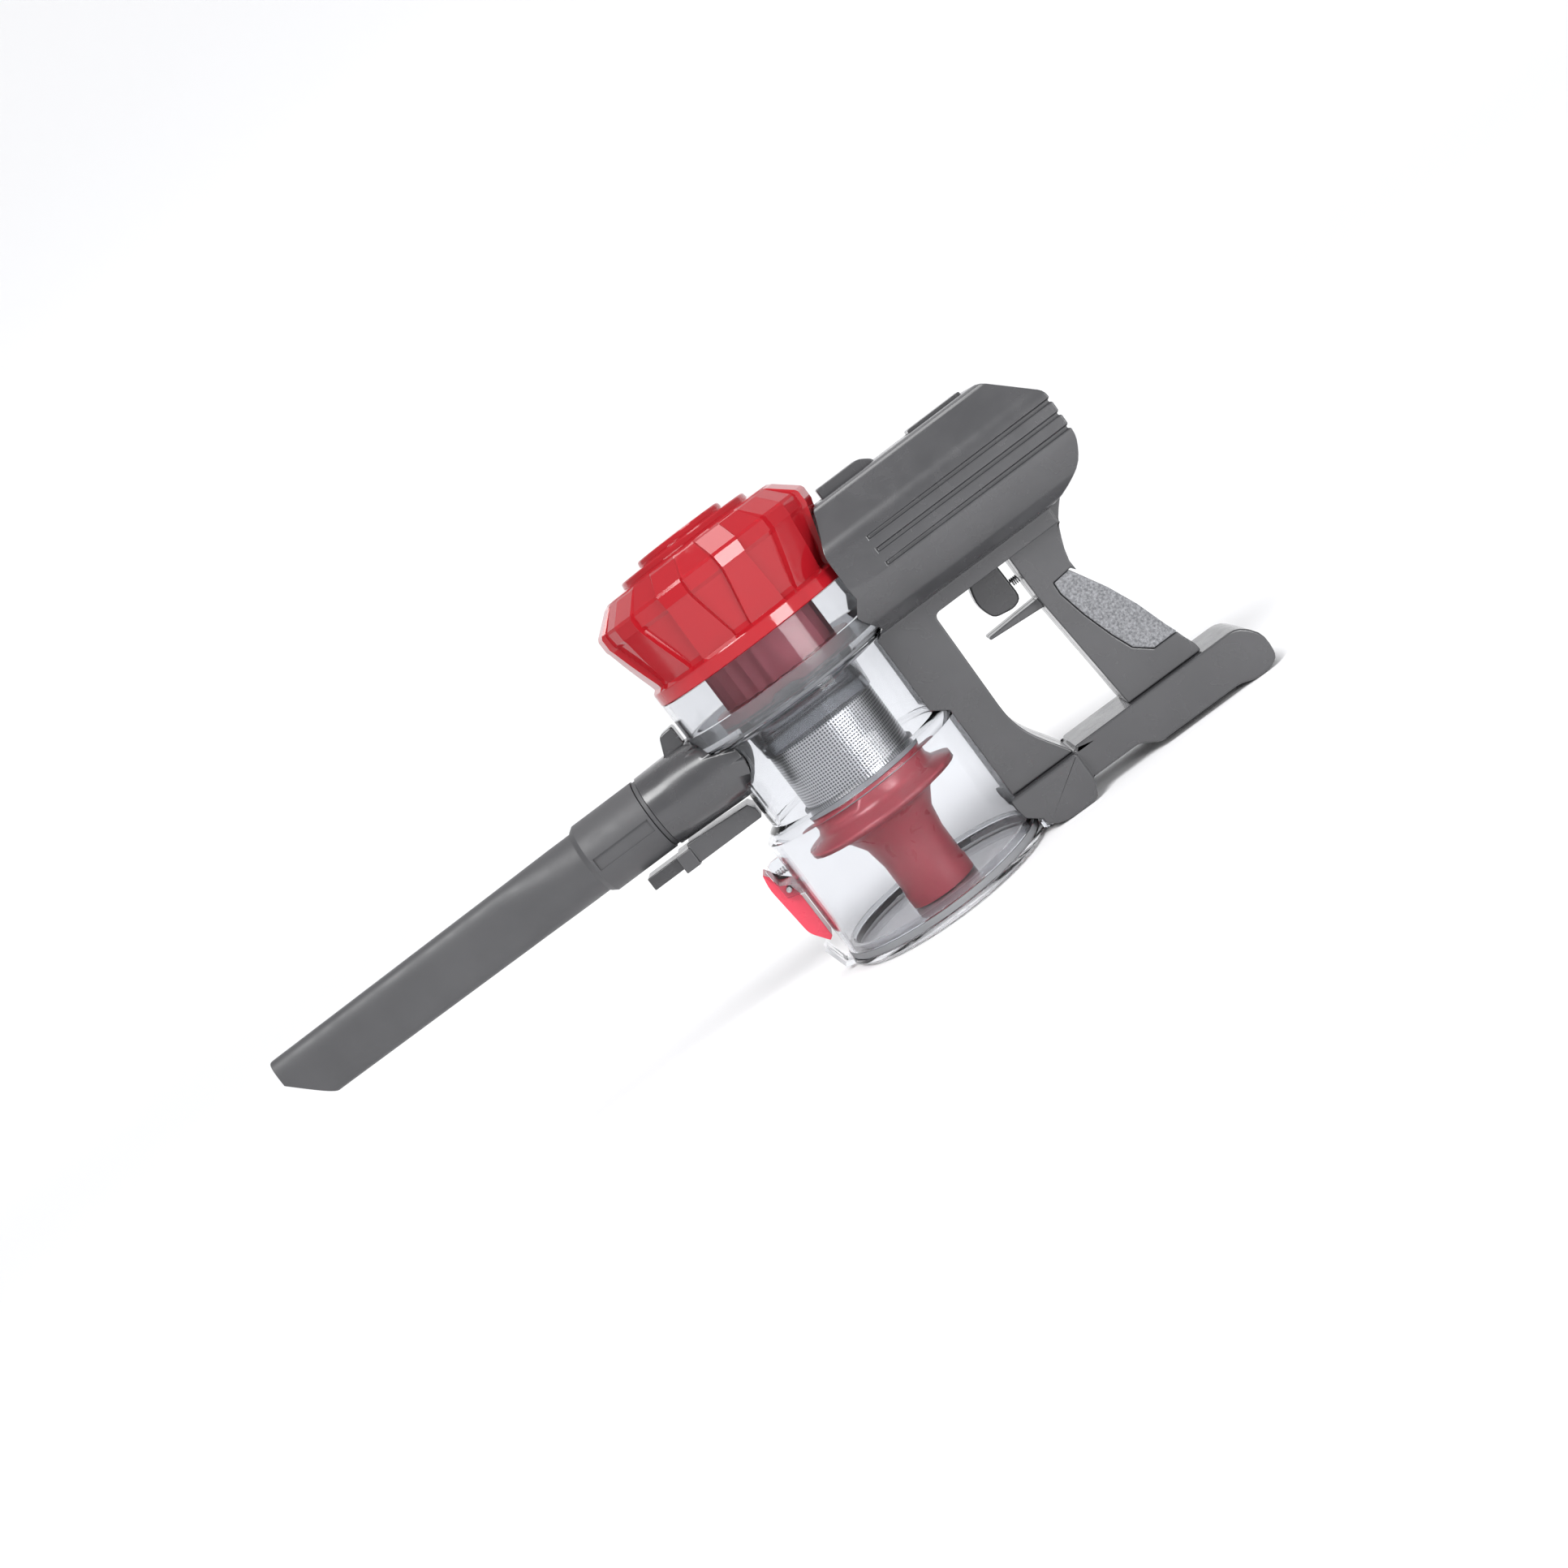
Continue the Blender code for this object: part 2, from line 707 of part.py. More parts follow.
def handle_outline():
    """The handle from the housing down to the battery."""
    return rounded(
        [
            (121, 130, 0),
            (160, 130, 0),
            (150, 119, 8),
            (141.7, 97, 10),
            (151.4, 79, 8),
            (158.1, 64, 8),
            (163.8, 47, 8),
            (166.7, 37, 4),
            (169.5, DOCK_Z + 4, 2),
            (169.5, DOCK_Z + GAP, 0),
            (126.4, DOCK_Z + GAP, 0),
            (125.2, 43, 5),
            (123, 70, 5),
            (121, 95, 5),
        ]
    )


def column_outline():
    """The column behind the cup, with the bar under the housing."""
    floor = DOCK_Z - 2 + GAP
    return rounded(
        [
            (40, floor, 0),
            (COLUMN_X + 16, floor, 0),
            (COLUMN_X + 13, DOCK_Z + 3.5, 3),
            (COLUMN_X + 4, DOCK_Z + 17.5, 8),
            (COLUMN_X, 57, 8),
            (COLUMN_X + 1, 119, 3),
            (150, 119, 0),
            (150, 131, 0),
            (40, 131, 0),
        ]
    )


PAD_REAR = ((140.5, 97), (150.6, 79), (157.2, 64), (162.8, 47), (165.0, 41.5))
PAD_FRONT = ((152, 41.5), (144, 48), (139.5, 59), (134.5, 75), (131.2, 90), (131.5, 96))


def pad_skin(name, proud, grow, clearance):
    """The skin round the handle's rear: made as the pad, or larger as the pocket for it."""
    rear = [(x + proud, z) for x, z in PAD_REAR]
    front = [(x - grow, z) for x, z in PAD_FRONT]
    rear[0] = (rear[0][0], rear[0][1] + grow)
    rear[-1] = (rear[-1][0], rear[-1][1] - grow)
    front[0] = (front[0][0], front[0][1] - grow)
    front[-1] = (front[-1][0], front[-1][1] + grow)
    wide = HANDLE_W + proud
    skin = prism(name, rear + front, -wide, wide, "Y", "grip_rubber")
    inner = [(x - PAD_DEPTH - 1 + clearance, z) for x, z in PAD_REAR]
    inner = [(inner[0][0] - 11, 117), *inner, (inner[-1][0] + 6, 20), (110, 20), (110, 117)]
    deep = HANDLE_W - PAD_DEPTH + clearance
    return cut(skin, prism("core", inner, -deep, deep, "Y"))


GROOVES_Z = (154.0, 161.5, 169.0)


def groove(z):
    """A shallow groove along both sides of the housing and round its rear."""
    wide, deep, rear = HOUSE_W + 5, HOUSE_W - 1.2, HOUSE_REAR_X - 1.2
    outline = [
        (72, -wide),
        (190, -wide),
        (190, wide),
        (72, wide),
        (72, deep),
        (rear, deep),
        (rear, -deep),
        (72, -deep),
    ]
    return prism("groove", outline, z - 1, z + 1, "Z")


def body():
    """The housing, the column and the handle in one, cut out inside, then split at y = 0."""
    whole = prism("body", rounded(HOUSE_SIDE), -HOUSE_W - 5, HOUSE_W + 5, "Y")
    keep(whole, prism("section", house_section(), 30, 190, "X"))
    inside = prism("inside", house_section(HOUSE_WALL), 72, HOUSE_REAR_X - 24, "X")
    cut(whole, inside)
    join(whole, prism("column", column_outline(), -COLUMN_W, COLUMN_W, "Y"))
    join(whole, prism("handle", handle_outline(), -HANDLE_W, HANDLE_W, "Y"))
    fin = [(91, 91.2), (125, 88.6), (125, 94.2), (91, 92.8)]
    join(whole, prism("fin", fin, -9, 9, "Y"))
    floor = HOUSE_Z[0] + HOUSE_WALL + 0.2
    cut(whole, box("upper", (72.6, -22, floor), (153, 22, floor + 6)))
    cut(whole, cup_clearance())
    for z in GROOVES_Z:
        cut(whole, groove(z))
    cut(whole, box("cup_button", (66 - SLIDE, -12 - SLIDE, 190), (97 + SLIDE, 12 + SLIDE, 200)))
    cut(whole, box("mode", (118 - SLIDE, -11 - SLIDE, 190), (149 + SLIDE, 11 + SLIDE, 200)))
    cut(whole, box("trigger_slot", (94, -6 - SLIDE, 100), (119, 6 + SLIDE, 135)))
    cut(whole, rod("port", 14, 40, 80, "X", (0, MOTOR_Z - 3)))
    channel = [
        (60.7, 30),
        (65.7, 30),
        (65.7, 122),
        (80, 122),
        (80, floor + 1),
        (74, floor + 1),
        (74, 126),
        (60.7, 126),
    ]
    cut(whole, prism("channel", channel, -11.5, 11.5, "Y"))
    cut(whole, pad_skin("pocket", 2.0, GAP, 0.0))
    cut(whole, rod("pin_hole", 1.5 + 0.05, -9 - GAP, 9 + GAP, "Y", TRIGGER_PIN))
    for x, z in SCREWS:
        cut(whole, screw_shape("screw_hole", GAP, HOUSE_W, (x, z)))
    for name, side in (("body_left", -1), ("body_right", 1)):
        half = whole.copy()
        half.data = whole.data.copy()
        half.name = half.data.name = name
        bpy.context.scene.collection.objects.link(half)
        ends = sorted((side * 0.15, side * 80))
        keep(half, box("side", (0, ends[0], -10), (220, ends[1], 240)))
        smooth(half, 25)
    bpy.data.objects.remove(whole, do_unlink=True)


SCREWS = ((COLUMN_X - 4.2, 45.0), (COLUMN_X - 4.2, 100.0), (133.0, DOCK_Z + 8), (129.0, 108.0))


def screw_shape(name, grow, outer, at):
    """A screw with its head toward +Y, or with a longer head the hole that takes it."""
    head, tip = HANDLE_W - 2.7 + grow, 4 - HANDLE_W - grow
    thread = head - 2 - grow
    profile = [
        (0, outer),
        (2.7 + grow, outer),
        (2.7 + grow, thread),
        (1.5 + grow, thread),
        (1.5 + grow, tip),
        (0, tip),
    ]
    return turned(name, profile[::-1], "steel", "Y", at, SMALL)


def screws():
    """Four screws that hold the halves together, with their heads in the right half's holes."""
    for number, at in enumerate(SCREWS, 1):
        screw_shape(f"body_screw_{number}", 0.0, HANDLE_W - 2.7, at)


def grip_pad():
    return smooth(pad_skin("grip_pad", 0.5, 0.0, GAP))


def top_buttons():
    """The cup release on the housing's front end, the speed button behind it, and their springs."""
    top = HOUSE_Z[1]
    outline = rounded(
        [(66, 193.4, 0), (66, top + 5.4, 1), (91, top + 5.4, 3), (97, top + 1.2, 2), (97, 193.4, 0)]
    )
    smooth(prism("cup_button", outline, -12, 12, "Y"))
    outline = rounded([(118, 194, 0), (118, top + 1.8, 1), (149, top + 1.8, 1), (149, 194, 0)])
    smooth(prism("speed_button", outline, -11, 11, "Y"))
    ring("cup_button_spring", 2.4, 3.4, 188.5, 193.4 - GAP, "steel", "Z", (81, 0), 16)
    box("button_shelf", (74, -14, 186.8), (98, 14, 188.5 - GAP), "grey_plastic")
    ring("speed_button_spring", 2.4, 3.4, 191.2 + GAP, 194 - GAP, "steel", "Z", (129, 0), 16)
    box("button_board", (118, -10, 190), (139, 10, 191.2), "board")


def trigger():
    """The trigger, its pin, its spring and the switch behind it."""
    x, z = TRIGGER_PIN
    outline = rounded(
        [
            (x - 6, 126.5, 3),
            (x + 4, 126.5, 3),
            (x + 5, 118, 2),
            (115.5, 99, 4),
            (110, 96.5, 3),
            (99, 98.5, 3),
            (95.5, 108, 6),
            (98, 119, 4),
        ],
    )
    made = prism("trigger", outline, -6, 6, "Y")
    cut(made, rod("hole", 1.5 + 0.05, -10, 10, "Y", TRIGGER_PIN))
    about(smooth(made), x, 0, z)
    rod("trigger_pin", 1.5, -9, 9, "Y", TRIGGER_PIN)
    ring("trigger_spring", 1.5, 2.3, 115.7, 120.6, "steel", "X", (0, 107), 12)
    box("trigger_switch", (104, -5, 128), (115, 5, 134), "grey_plastic")


TRIGGER_PIN = (110.0, 122.5)


def motor():
    """The motor along X, its mount, the shaft and impeller, the exhaust filter and the control board."""
    at = (0, MOTOR_Z)
    turned(
        "motor_can", [(3, 96), (MOTOR_R, 96), (MOTOR_R, 130), (18, 136), (3, 136)], "steel", "X", at, MIDDLE
    )
    ring("motor_mount", MOTOR_R + GAP, MOTOR_R + 2, 121, 131, "seal_rubber", "X", at, MIDDLE)
    ring("motor_bracket", MOTOR_R + 2 + GAP, MOTOR_R + 3.5, 121, 131, "grey_plastic", "X", at, MIDDLE)
    rod("motor_shaft", 2.5, 78, 140, "X", at)
    impeller = prism("impeller", blades(7, 9, 24), 82, 92, "X", "grey_plastic")
    cut(impeller, rod("hole", 2.6, 70, 100, "X", at))
    smooth(join(impeller, ring("plate", 6, 25, 91.5, 93.5, "grey_plastic", "X", at, MIDDLE)))
    ring("exhaust_filter", 10, 27, 142, 152, "filter_media", "X", at, MIDDLE)
    box("control_board", (132, -16, 130.6), (152, 16, 132), "board")


def blades(count, hub, tip):
    """The impeller's outline across X: straight blades round a hub."""
    outline = []
    for k in range(count):
        for turn, radius in ((-0.5, hub), (-0.1, hub), (-0.04, tip), (0.04, tip), (0.1, hub)):
            angle = tau * (k + turn) / count
            outline.append((radius * cos(angle), MOTOR_Z + radius * sin(angle)))
    return outline


# ---- battery foot ----


def bar_outline():
    return rounded(
        [
            (70, DOCK_Z - 2, 0),
            (COLUMN_X + 17, DOCK_Z - 2, 0),
            (COLUMN_X + 18, DOCK_Z, 1),
            (BAR_END_X - 9, DOCK_Z, 5),
            (BAR_END_X, DOCK_Z - 10, 6),
            (BAR_END_X - 1, 3, 4),
            (BAR_END_X - 7, 0, 3),
            (BAR_END_X - 16, 0, 3),
            (BAR_END_X - 23, 2.6, 2),
            (128, 2.6, 2),
            (119, 8.5, 3),
            (70, 8.5, 0),
        ]
    )


def battery():
    """The case with the front block, the two cells, their board, the cover below and the screws."""
    case = prism("battery_case", bar_outline(), -BAR_W, BAR_W, "Y")
    top, rear = DOCK_Z - 2, COLUMN_X + 16
    block = rounded([(50, top, 0), (rear, top, 1), (rear, 8, 3), (rear - 4, 0, 3), (66, 0, 6), (50, 12, 0)])
    join(case, prism("block", block, -BLOCK_W, BLOCK_W, "Y"))
    start = BAR_END_X - 69.0
    inner_w = BAR_W - CASE_WALL
    cut(
        case,
        box(
            "room",
            (start - 1, -inner_w, CELL_FLOOR_Z),
            (start + CELL_LEN + 9, inner_w, DOCK_Z - CASE_WALL),
        ),
    )
    cut(case, box("mouth", (start + 3, -inner_w, -1), (BAR_END_X - 25, inner_w, 6)))
    cut(case, cup_clearance())
    cut(case, box("latch_room", (55, -16, -5), (LID_HINGE_X + 6, 16, 14)))
    smooth(case, 25)
    middle = (CELL_FLOOR_Z + DOCK_Z - CASE_WALL) / 2
    for number, y in enumerate((-CELL_R - GAP, CELL_R + GAP), 1):
        rod(f"battery_cell_{number}", CELL_R, start, start + CELL_LEN, "X", (y, middle), "steel")
    box("battery_board", (start + CELL_LEN + 3, -14, 8), (start + CELL_LEN + 5, 14, 22), "board")
    box(
        "battery_cover", (start + 3 + GAP, -inner_w + GAP, 2.6), (BAR_END_X - 25 - GAP, inner_w - GAP, 4.3)
    )


def build():
    dust_cup()
    lid()
    lid_seal()
    lid_hinge()
    latch()
    skirt()
    cyclone()
    rim()
    band()
    cap()
    filters()
    inlet_duct()
    inlet_button()
    inlet_parts()
    crevice_tool()
    body()
    screws()
    grip_pad()
    top_buttons()
    trigger()
    motor()
    battery()


build()
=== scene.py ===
"""Looks of the handheld vacuum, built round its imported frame. Sizes are in metres."""

import json
from math import cos, pi, radians, sin, tau

import bpy
from mathutils import Matrix, Vector


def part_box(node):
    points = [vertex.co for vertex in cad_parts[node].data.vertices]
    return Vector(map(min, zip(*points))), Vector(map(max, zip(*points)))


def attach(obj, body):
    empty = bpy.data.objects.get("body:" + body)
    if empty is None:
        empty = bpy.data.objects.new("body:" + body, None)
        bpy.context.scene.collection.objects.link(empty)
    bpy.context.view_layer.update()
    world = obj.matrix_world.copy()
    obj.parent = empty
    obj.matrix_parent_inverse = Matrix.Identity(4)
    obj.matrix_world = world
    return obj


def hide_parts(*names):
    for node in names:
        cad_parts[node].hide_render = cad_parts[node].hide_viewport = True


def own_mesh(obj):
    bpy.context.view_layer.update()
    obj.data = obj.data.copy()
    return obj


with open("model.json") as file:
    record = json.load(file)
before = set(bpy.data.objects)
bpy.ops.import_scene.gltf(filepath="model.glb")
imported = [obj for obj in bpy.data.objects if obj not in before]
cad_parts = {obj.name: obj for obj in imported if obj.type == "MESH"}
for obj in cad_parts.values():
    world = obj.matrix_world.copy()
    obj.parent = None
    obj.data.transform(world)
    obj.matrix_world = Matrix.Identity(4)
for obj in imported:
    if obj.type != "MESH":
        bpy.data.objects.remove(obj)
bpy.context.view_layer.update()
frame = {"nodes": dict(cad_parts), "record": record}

MM = 0.001
NODES = frame["nodes"]
RECORD = frame["record"]
BODY_OF = {node: body for body, nodes in RECORD["behaviour"]["bodies"].items() for node in nodes}


# ---- materials ----


def colour(code):
    """An sRGB hex code as linear values."""
    parts = [int(code[i : i + 2], 16) / 255 for i in (1, 3, 5)]
    return [c / 12.92 if c <= 0.04045 else ((c + 0.055) / 1.055) ** 2.4 for c in parts] + [1.0]


def add(tree, kind, settings=None, **links):
    """A node with its settings, and links into its sockets by name or number."""
    node = tree.nodes.new(kind)
    for key, value in (settings or {}).items():
        if isinstance(key, int) or key in node.inputs:
            node.inputs[key].default_value = value
        else:
            setattr(node, key, value)
    for key, source in links.items():
        socket = int(key[1:]) if key[0] == "_" else key.replace("_", " ")
        tree.links.new(source, node.inputs[socket])
    return node


def new_material(name):
    """An empty node material with the piece's own coordinates."""
    made = bpy.data.materials.new(name)
    made.use_nodes = True
    tree = made.node_tree
    tree.nodes.clear()
    where = add(tree, "ShaderNodeTexCoord").outputs["Object"]
    return made, tree, where


def finish_material(tree, shader):
    """Links the shader to the material's output."""
    add(tree, "ShaderNodeOutputMaterial", Surface=shader.outputs[0])


def ramp(tree, factor, low, high, dark, light):
    """A colour or grey that runs from dark to light between two factors."""
    node = add(tree, "ShaderNodeValToRGB", Fac=factor)
    for element, at, value in zip(node.color_ramp.elements, (low, high), (dark, light)):
        element.position = at
        element.color = colour(value) if isinstance(value, str) else (value, value, value, 1)
    return node.outputs[0]


def moulded(name, dark, light, roughness, grain, depth, coat=0.0):
    """Moulded ABS or polypropylene: an even colour with a faint cloudiness and a fine spark-eroded skin."""
    made, tree, where = new_material(name)
    cloud = add(tree, "ShaderNodeTexNoise", {"Scale": 35.0, "Detail": 3.0}, Vector=where)
    fine = add(tree, "ShaderNodeTexNoise", {"Scale": 1 / (grain * MM), "Detail": 2.0}, Vector=where)
    wipe = add(tree, "ShaderNodeTexNoise", {"Scale": 90.0, "Detail": 4.0, "Distortion": 0.6}, Vector=where)
    rough = add(
        tree,
        "ShaderNodeMapRange",
        {"From Min": 0.3, "From Max": 0.7, "To Min": roughness - 0.04, "To Max": roughness + 0.06},
        Value=wipe.outputs["Fac"],
    )
    faint = {"Strength": 0.1, "Distance": depth * MM}
    skin = add(tree, "ShaderNodeBump", faint, Height=fine.outputs["Fac"])
    shader = add(
        tree,
        "ShaderNodeBsdfPrincipled",
        {"IOR": 1.53, "Coat Weight": coat, "Coat Roughness": 0.12},
        Base_Color=ramp(tree, cloud.outputs["Fac"], 0.3, 0.7, dark, light),
        Roughness=rough.outputs[0],
        Normal=skin.outputs[0],
    )
    finish_material(tree, shader)
    return made


def clear(name, tint, transmission, roughness, ior):
    """Injection-moulded polycarbonate: clear or tinted, with the faint flow waves of its mould."""
    made, tree, where = new_material(name)
    flow = add(tree, "ShaderNodeTexNoise", {"Scale": 28.0, "Detail": 1.0}, Vector=where)
    dust = add(tree, "ShaderNodeTexNoise", {"Scale": 260.0, "Detail": 4.0}, Vector=where)
    rough = add(
        tree,
        "ShaderNodeMapRange",
        {"From Min": 0.45, "From Max": 0.75, "To Min": roughness, "To Max": roughness + 0.08},
        Value=dust.outputs["Fac"],
    )
    wave = add(tree, "ShaderNodeBump", {"Strength": 0.12, "Distance": 0.4 * MM}, Height=flow.outputs["Fac"])
    shader = add(
        tree,
        "ShaderNodeBsdfPrincipled",
        {"Base Color": colour(tint), "Transmission Weight": transmission, "IOR": ior},
        Roughness=rough.outputs[0],
        Normal=wave.outputs[0],
    )
    finish_material(tree, shader)
    return made


def speckled_rubber(name, dark, light):
    """Moulded elastomer with pale and dark flecks about a millimetre across."""
    made, tree, where = new_material(name)
    flecks = add(tree, "ShaderNodeTexVoronoi", {"Scale": 1 / (0.6 * MM), "Randomness": 1.0}, Vector=where)
    cloud = add(tree, "ShaderNodeTexNoise", {"Scale": 800.0, "Detail": 5.0}, Vector=where)
    mixed = add(
        tree,
        "ShaderNodeMix",
        {"data_type": "RGBA", "blend_type": "OVERLAY", 0: 0.55},
        _6=ramp(tree, cloud.outputs["Fac"], 0.35, 0.65, dark, light),
        _7=ramp(tree, flecks.outputs["Distance"], 0.1, 0.5, 0.35, 0.62),
    )
    pits = {"Strength": 0.5, "Distance": 0.15 * MM}
    skin = add(tree, "ShaderNodeBump", pits, Height=flecks.outputs["Distance"])
    shader = add(
        tree,
        "ShaderNodeBsdfPrincipled",
        {"Roughness": 0.72, "IOR": 1.5},
        Base_Color=mixed.outputs[2],
        Normal=skin.outputs[0],
    )
    finish_material(tree, shader)
    return made


def brushed(name, dark, light, roughness, along):
    """Drawn or turned steel, with fine lines along one direction."""
    made, tree, where = new_material(name)
    stretch = add(tree, "ShaderNodeMapping", {"Scale": along}, Vector=where)
    lines = add(tree, "ShaderNodeTexNoise", {"Scale": 900.0, "Detail": 3.0}, Vector=stretch.outputs[0])
    scratch = {"Strength": 0.2, "Distance": 0.05 * MM}
    skin = add(tree, "ShaderNodeBump", scratch, Height=lines.outputs["Fac"])
    shader = add(
        tree,
        "ShaderNodeBsdfPrincipled",
        {"Metallic": 1.0, "Roughness": roughness},
        Base_Color=ramp(tree, lines.outputs["Fac"], 0.3, 0.7, dark, light),
        Normal=skin.outputs[0],
    )
    finish_material(tree, shader)
    return made


SCREEN_R = 31 * MM


def pierced_steel(name, pitch):
    """Etched steel screen: staggered round holes, drawn at a pitch that still shows, each dented by a bump
    and painted dark grey as painted shade.
    """
    made, tree, where = new_material(name)
    axes = add(tree, "ShaderNodeSeparateXYZ", Vector=where)
    turn = add(tree, "ShaderNodeMath", {"operation": "ARCTAN2"}, _0=axes.outputs[1], _1=axes.outputs[0])
    holes = round(tau * SCREEN_R / pitch)
    around = add(tree, "ShaderNodeMath", {"operation": "MULTIPLY", 1: holes / 2}, _0=turn.outputs[0])
    up = add(tree, "ShaderNodeMath", {"operation": "MULTIPLY", 1: pi / pitch}, _0=axes.outputs[2])
    across = add(tree, "ShaderNodeMath", {"operation": "SINE"}, _0=around.outputs[0])
    along = add(tree, "ShaderNodeMath", {"operation": "SINE"}, _0=up.outputs[0])
    both = add(tree, "ShaderNodeMath", {"operation": "MULTIPLY"}, _0=across.outputs[0], _1=along.outputs[0])
    depth = add(tree, "ShaderNodeMath", {"operation": "ABSOLUTE"}, _0=both.outputs[0])
    dent = {"Strength": 0.4, "Distance": 0.2 * MM, "invert": True}
    skin = add(tree, "ShaderNodeBump", dent, Height=depth.outputs[0])
    # The holes are painted dark grey: painted shade where each hole opens onto the dark behind the screen.
    shader = add(
        tree,
        "ShaderNodeBsdfPrincipled",
        {"Metallic": 0.85, "Roughness": 0.3},
        Base_Color=ramp(tree, depth.outputs[0], 0.35, 0.6, "#d4d4d6", "#6e6f72"),
        Normal=skin.outputs[0],
    )
    finish_material(tree, shader)
    return made


LOOKS = {
    # Glossy ABS of the housing, column, foot and inlet: soft highlights on a dark neutral grey.
    "glossy_abs": moulded("glossy_abs", "#3f3f41", "#454547", 0.24, 1.6, 0.03, 0.3),
    # Matte polypropylene of the crevice tool: an even, dull dark grey.
    "matte_polypropylene": moulded("matte_polypropylene", "#444446", "#4a4a4c", 0.5, 0.8, 0.05),
    # Black ABS of the trigger and the plug.
    "black_abs": moulded("black_abs", "#2e2e30", "#343436", 0.25, 0.9, 0.02, 0.3),
    # Light grey ABS of the rings and brackets inside.
    "grey_abs": moulded("grey_abs", "#9c9da0", "#a6a7aa", 0.4, 0.5, 0.03),
    # Red ABS of the latch: glossy and slightly pink in the light.
    "red_abs": moulded("red_abs", "#d5304a", "#dc3a52", 0.28, 0.6, 0.02, 0.3),
    # Red ABS of the skirt, duller because it is seen through the cup.
    "skirt_abs": moulded("skirt_abs", "#ad444e", "#b84e58", 0.3, 0.6, 0.02),
    # Grey elastomer of the seals.
    "seal_rubber": moulded("seal_rubber", "#77787b", "#808184", 0.65, 0.3, 0.05),
    # Clear polycarbonate of the cup: nearly colourless, with crisp reflections.
    "clear_polycarbonate": clear("clear_polycarbonate", "#eff0f2", 1.0, 0.015, 1.25),
    # Smoky polycarbonate of the rim and filter housing.
    "smoky_polycarbonate": clear("smoky_polycarbonate", "#b9bbbf", 0.85, 0.05, 1.3),
    # Red-tinted polycarbonate of the cap: deep red where it is thick, lighter on its faces.
    "red_polycarbonate": clear("red_polycarbonate", "#c4222d", 0.4, 0.04, 1.5),
    "speckled_rubber": speckled_rubber("speckled_rubber", "#57585b", "#828386"),
    # Turned steel of the motor, pins and screws.
    "turned_steel": brushed("turned_steel", "#9a9a9c", "#c6c6c8", 0.3, (1.0, 12.0, 1.0)),
    "pierced_steel": pierced_steel("pierced_steel", 1.6 * MM),
    # Pleated paper and foam filters: off-white and dull.
    "filter_paper": moulded("filter_paper", "#dcdad2", "#e8e6de", 0.9, 0.25, 0.2),
    # Rose-dyed pleated cloth of the main filter.
    "filter_cloth": moulded("filter_cloth", "#bb6672", "#c9747f", 0.8, 0.25, 0.2),
    # Shrink-wrap of the cells and the boards' solder mask.
    "cell_wrap": moulded("cell_wrap", "#2f6f8f", "#367a9b", 0.35, 0.6, 0.02),
    "solder_mask": moulded("solder_mask", "#1c5a35", "#22683e", 0.4, 0.4, 0.03),
}


# ---- modelling helpers ----


def only(piece):
    """Selects this piece alone and makes it active."""
    bpy.ops.object.select_all(action="DESELECT")
    piece.select_set(True)
    bpy.context.view_layer.objects.active = piece


def editing(piece, *steps):
    """Runs steps on all of the piece in edit mode."""
    only(piece)
    bpy.ops.object.mode_set(mode="EDIT")
    bpy.ops.mesh.select_all(action="SELECT")
    for step, settings in steps:
        step(**settings)
    bpy.ops.object.mode_set(mode="OBJECT")


def apply(piece, kind, **settings):
    """Adds a modifier and applies it."""
    only(piece)
    change = piece.modifiers.new(kind, kind)
    for key, value in settings.items():
        setattr(change, key, value)
    bpy.ops.object.modifier_apply(modifier=change.name)


def round_edges(piece, width, segments=3, angle=30, clamp=False):
    """Rounds the edges sharper than an angle, by a width in millimetres."""
    apply(
        piece,
        "BEVEL",
        width=width * MM,
        segments=segments,
        limit_method="ANGLE",
        angle_limit=radians(angle),
        use_clamp_overlap=clamp,
    )


def smooth(piece, angle):
    """Smooth shading up to an angle, with large flat faces kept flat."""
    only(piece)
    bpy.ops.object.shade_smooth_by_angle(angle=radians(angle))
    apply(piece, "WEIGHTED_NORMAL", keep_sharp=True)


def place(piece, body, look, slot, *nodes):
    """Gives a piece its finish and its body, and hides the nodes that it stands for."""
    piece.data.materials.clear()
    piece.data.materials.append(LOOKS[look])
    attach(piece, body)
    if nodes:
        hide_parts(*nodes)


def slot_of(node):
    """The material slot that the record gives a node."""
    return next(row["material_slot"] for row in RECORD["subparts"] if row["node"] == node)


def refined(node, look, edge, angle):
    """A merged copy of a frame node, with rounded edges and smooth shading."""
    source = NODES[node]
    piece = bpy.data.objects.new(node + "_skin", source.data.copy())
    bpy.context.scene.collection.objects.link(piece)
    editing(
        piece,
        (bpy.ops.mesh.remove_doubles, {"threshold": 4e-5}),
        (bpy.ops.mesh.dissolve_limited, {"angle_limit": radians(0.5)}),
    )
    if edge:
        round_edges(piece, edge)
    smooth(piece, angle)
    place(piece, BODY_OF[node], look, slot_of(node), node)
    return piece


def turned(name, profile, sides=144):
    """A closed profile of (radius, height) in millimetres raised ring by ring about the upright axis."""
    radius, height = profile[0]
    bpy.ops.object.select_all(action="DESELECT")
    bpy.ops.mesh.primitive_circle_add(vertices=sides, radius=radius * MM, location=(0, 0, height * MM))
    piece = bpy.context.object
    piece.name = piece.data.name = name
    bpy.ops.object.transform_apply()
    bpy.ops.object.mode_set(mode="EDIT")
    bpy.ops.mesh.select_all(action="SELECT")
    for next_radius, next_height in [*profile[1:], profile[0]]:
        bpy.ops.mesh.extrude_region()
        bpy.ops.transform.translate(value=(0, 0, (next_height - height) * MM))
        scale = next_radius / radius
        bpy.ops.transform.resize(value=(scale, scale, 1), center_override=(0, 0, next_height * MM))
        radius, height = next_radius, next_height
    bpy.ops.mesh.select_all(action="SELECT")
    bpy.ops.mesh.remove_doubles(threshold=1e-6)
    bpy.ops.mesh.normals_make_consistent(inside=False)
    bpy.ops.object.mode_set(mode="OBJECT")
    return piece


# ---- filter cap ----

